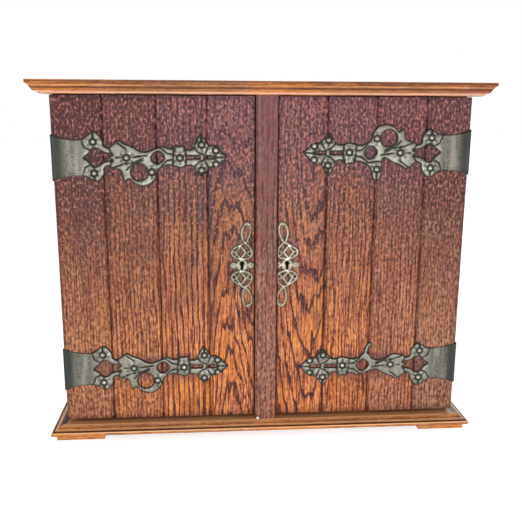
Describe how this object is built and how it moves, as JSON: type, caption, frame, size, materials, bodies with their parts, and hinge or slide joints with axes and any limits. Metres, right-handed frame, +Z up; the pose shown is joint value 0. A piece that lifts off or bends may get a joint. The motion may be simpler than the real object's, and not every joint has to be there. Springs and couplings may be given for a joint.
{
  "type": "key cabinet",
  "caption": "Table-top oak key cabinet: two boarded doors on ornate strap hinges, a lock in each, moulded cornice and plinth, rows of key hooks inside.",
  "frame": {"origin": "middle of the footprint, on the plane the feet stand on", "axes": "+X to the right seen from the front, +Z up, the doors face -Y"},
  "size_m": [0.4566, 0.1534, 0.3712],
  "materials": {
    "top_board": "waxed oak",
    "cornice_front": "waxed oak",
    "cornice_left": "waxed oak",
    "cornice_right": "waxed oak",
    "side_left": "waxed oak",
    "side_right": "waxed oak",
    "base_board": "dark waxed oak",
    "back_panel": "dark waxed oak",
    "centre_post": "dark waxed oak",
    "plinth_front": "waxed oak",
    "plinth_left": "waxed oak",
    "plinth_right": "waxed oak",
    "foot_front_left": "waxed oak",
    "foot_front_right": "waxed oak",
    "foot_rear_left": "waxed oak",
    "foot_rear_right": "waxed oak",
    "hook_rail_top": "waxed oak",
    "hook_rail_middle": "waxed oak",
    "hook_rail_bottom": "waxed oak",
    "key_hooks_top": "aged brass",
    "key_hooks_middle": "aged brass",
    "key_hooks_bottom": "aged brass",
    "rail_screws": "aged brass",
    "ball_pin": "bright worn metal",
    "leaf_left_top": "aged pewter-grey pressed metal",
    "leaf_left_bottom": "aged pewter-grey pressed metal",
    "leaf_right_top": "aged pewter-grey pressed metal",
    "leaf_right_bottom": "aged pewter-grey pressed metal",
    "hinge_pins": "dark iron",
    "leaf_screws": "dark iron",
    "left_board_1": "waxed oak",
    "left_board_2": "waxed oak",
    "left_board_3": "waxed oak",
    "left_board_4": "waxed oak",
    "left_batten_top": "waxed oak",
    "left_batten_bottom": "waxed oak",
    "left_strap_top": "aged pewter-grey pressed metal",
    "left_strap_bottom": "aged pewter-grey pressed metal",
    "left_studs": "worn dome heads",
    "left_escutcheon": "tarnished brass",
    "left_escutcheon_pins": "tarnished brass",
    "left_lock_case": "dark iron",
    "left_lock_bolt": "aged brass",
    "left_door_screws": "aged brass",
    "right_board_1": "waxed oak",
    "right_board_2": "waxed oak",
    "right_board_3": "waxed oak",
    "right_board_4": "waxed oak",
    "right_batten_top": "waxed oak",
    "right_batten_bottom": "waxed oak",
    "right_strap_top": "aged pewter-grey pressed metal",
    "right_strap_bottom": "aged pewter-grey pressed metal",
    "right_studs": "worn dome heads",
    "right_escutcheon": "pale worn brass",
    "right_escutcheon_pins": "pale worn brass",
    "right_lock_case": "dark iron",
    "right_lock_bolt": "aged brass",
    "right_door_screws": "aged brass"
  },
  "bodies": {
    "case": {"top_board": "top_board", "cornice_front": "cornice_front", "cornice_left": "cornice_left", "cornice_right": "cornice_right", "side_left": "side_left", "side_right": "side_right", "base_board": "base_board", "back_panel": "back_panel", "centre_post": "centre_post", "plinth_front": "plinth_front", "plinth_left": "plinth_left", "plinth_right": "plinth_right", "foot_front_left": "foot_front_left", "foot_front_right": "foot_front_right", "foot_rear_left": "foot_rear_left", "foot_rear_right": "foot_rear_right", "hook_rail_top": "hook_rail_top", "hook_rail_middle": "hook_rail_middle", "hook_rail_bottom": "hook_rail_bottom", "key_hooks_top": "key_hooks_top", "key_hooks_middle": "key_hooks_middle", "key_hooks_bottom": "key_hooks_bottom", "rail_screws": "rail_screws", "ball_pin": "ball_pin", "leaf_left_top": "leaf_left_top", "leaf_left_bottom": "leaf_left_bottom", "leaf_right_top": "leaf_right_top", "leaf_right_bottom": "leaf_right_bottom", "hinge_pins": "hinge_pins", "leaf_screws": "leaf_screws"},
    "left_door": {"left_board_1": "left_board_1", "left_board_2": "left_board_2", "left_board_3": "left_board_3", "left_board_4": "left_board_4", "left_batten_top": "left_batten_top", "left_batten_bottom": "left_batten_bottom", "left_strap_top": "left_strap_top", "left_strap_bottom": "left_strap_bottom", "left_studs": "left_studs", "left_escutcheon": "left_escutcheon", "left_escutcheon_pins": "left_escutcheon_pins", "left_lock_case": "left_lock_case", "left_door_screws": "left_door_screws"},
    "right_door": {"right_board_1": "right_board_1", "right_board_2": "right_board_2", "right_board_3": "right_board_3", "right_board_4": "right_board_4", "right_batten_top": "right_batten_top", "right_batten_bottom": "right_batten_bottom", "right_strap_top": "right_strap_top", "right_strap_bottom": "right_strap_bottom", "right_studs": "right_studs", "right_escutcheon": "right_escutcheon", "right_escutcheon_pins": "right_escutcheon_pins", "right_lock_case": "right_lock_case", "right_door_screws": "right_door_screws"},
    "left_bolt": {"left_lock_bolt": "left_lock_bolt"},
    "right_bolt": {"right_lock_bolt": "right_lock_bolt"}
  },
  "joints": [
    {"name": "left_door_swing", "type": "hinge", "parent": "case", "child": "left_door", "pos_m": [-0.2103, -0.04385, 0.1884], "axis": [0, 0, -1], "range_deg": [0, 115]},
    {"name": "right_door_swing", "type": "hinge", "parent": "case", "child": "right_door", "pos_m": [0.2103, -0.04385, 0.1884], "axis": [0, 0, 1], "range_deg": [0, 115]},
    {"name": "left_bolt_throw", "type": "slide", "parent": "left_door", "child": "left_bolt", "axis": [1, 0, 0], "range_m": [0, 0.006]},
    {"name": "right_bolt_throw", "type": "slide", "parent": "right_door", "child": "right_bolt", "axis": [-1, 0, 0], "range_m": [0, 0.006]}
  ]
}
